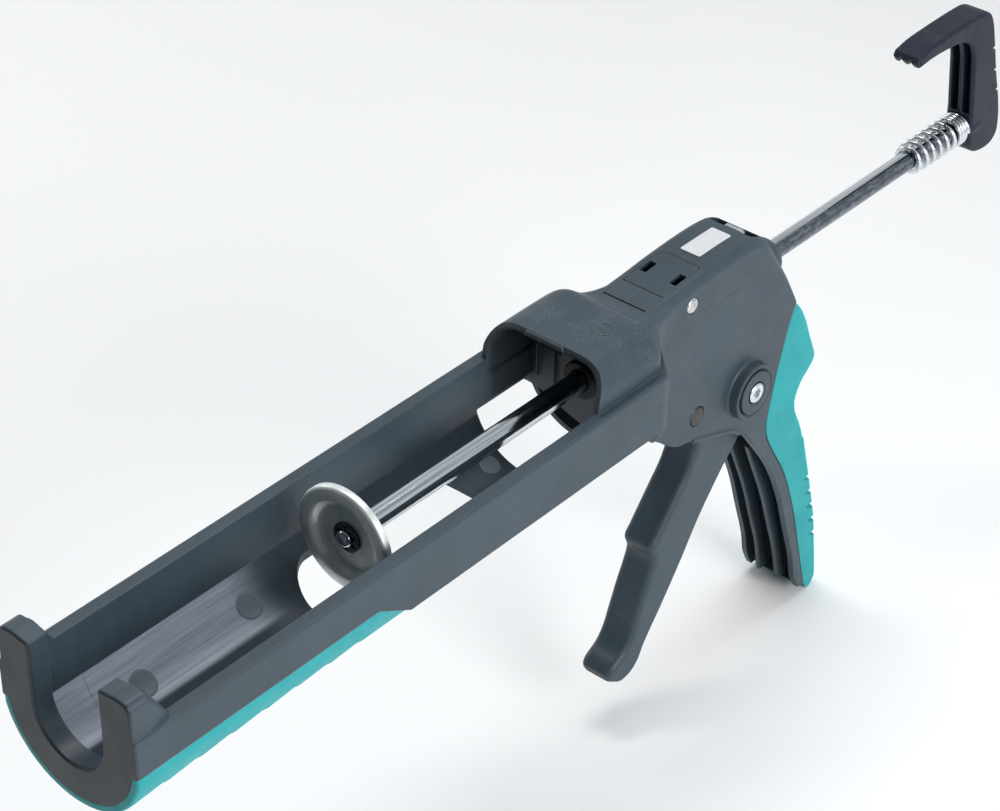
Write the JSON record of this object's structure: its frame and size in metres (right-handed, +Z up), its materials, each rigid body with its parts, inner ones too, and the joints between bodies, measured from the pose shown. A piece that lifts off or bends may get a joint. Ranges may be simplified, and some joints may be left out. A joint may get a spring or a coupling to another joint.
{
  "type": "caulking gun",
  "caption": "Manual caulking gun with an open half-round cradle, smooth push rod with plunger plate, squeeze trigger, soft grip and rear hook handle.",
  "frame": {"origin": "centre of the push rod's front end face, flush with the plunger plate's pressing rim, on the rod axis, at rest", "axes": "+X along the rod towards the nozzle end of the cradle, +Y to the gun's left, +Z up, away from the handle"},
  "size_m": [0.5708, 0.0676, 0.2547],
  "materials": {
    "slate_plastic": "satin moulded, fine grain",
    "teal_skin": "soft-touch matt overmould",
    "label_film": "blank white film",
    "zinc_steel": "bright zinc plate",
    "polished_steel": "drawn and plated, fine lengthwise lines",
    "bright_steel": "ground steel",
    "dark_steel": "dulled steel"
  },
  "bodies": {
    "frame": {"cradle": "slate_plastic", "cradle_skin": "teal_skin", "housing_left": "slate_plastic", "housing_right": "slate_plastic", "handle_grip": "teal_skin", "top_hatch": "slate_plastic", "blank_label": "label_film", "rivet_upper": "dark_steel", "rivet_lower": "dark_steel", "pivot_sleeve": "bright_steel", "pivot_cap_left": "slate_plastic", "pivot_cap_right": "slate_plastic", "pivot_screw": "zinc_steel", "pivot_nut": "zinc_steel", "rod_bush": "slate_plastic", "drive_spring": "zinc_steel", "brake_spring": "zinc_steel"},
    "trigger": {"trigger": "slate_plastic", "pivot_bush": "zinc_steel"},
    "drive": {"grip_plate_front": "bright_steel", "grip_plate_rear": "bright_steel"},
    "brake": {"brake_plate": "bright_steel"},
    "release": {"release_collar": "slate_plastic"},
    "rod": {"push_rod": "polished_steel", "plunger_washer": "zinc_steel", "retaining_washer": "dark_steel", "buffer_spring": "zinc_steel", "hook_handle": "slate_plastic", "hook_pin": "zinc_steel"},
    "plunger": {"plunger_plate": "zinc_steel"}
  },
  "joints": [
    {"name": "trigger_pull", "type": "hinge", "parent": "frame", "child": "trigger", "pos_m": [-0.2335, 0, -0.047], "axis": [0, 1, 0], "range_deg": [0, 28], "stiffness_Nm_per_rad": 0.6, "springref_deg": -20.05},
    {"name": "drive_travel", "type": "slide", "parent": "frame", "child": "drive", "axis": [1, 0, 0], "range_m": [0, 0.017], "deforming": ["drive_spring"]},
    {"name": "release_push", "type": "slide", "parent": "frame", "child": "release", "axis": [1, 0, 0], "range_m": [0, 0.003], "stiffness_N_per_m": 600, "springref_m": -0.002},
    {"name": "brake_tilt", "type": "hinge", "parent": "frame", "child": "brake", "pos_m": [-0.238, 0, 0.023], "axis": [0, 1, 0], "range_deg": [-5, 0], "deforming": ["brake_spring"]},
    {"name": "rod_slide", "type": "slide", "parent": "frame", "child": "rod", "axis": [1, 0, 0], "range_m": [-0.128, 0.098]},
    {"name": "plunger_turn", "type": "hinge", "parent": "rod", "child": "plunger", "pos_m": [0, 0, 0], "axis": [1, 0, 0], "continuous": true}
  ],
  "couplings": [
    {"joint": "drive_travel", "follows": "trigger_pull", "m_per_rad": 0.0345},
    {"joint": "brake_tilt", "follows": "release_push", "rad_per_m": -29}
  ]
}
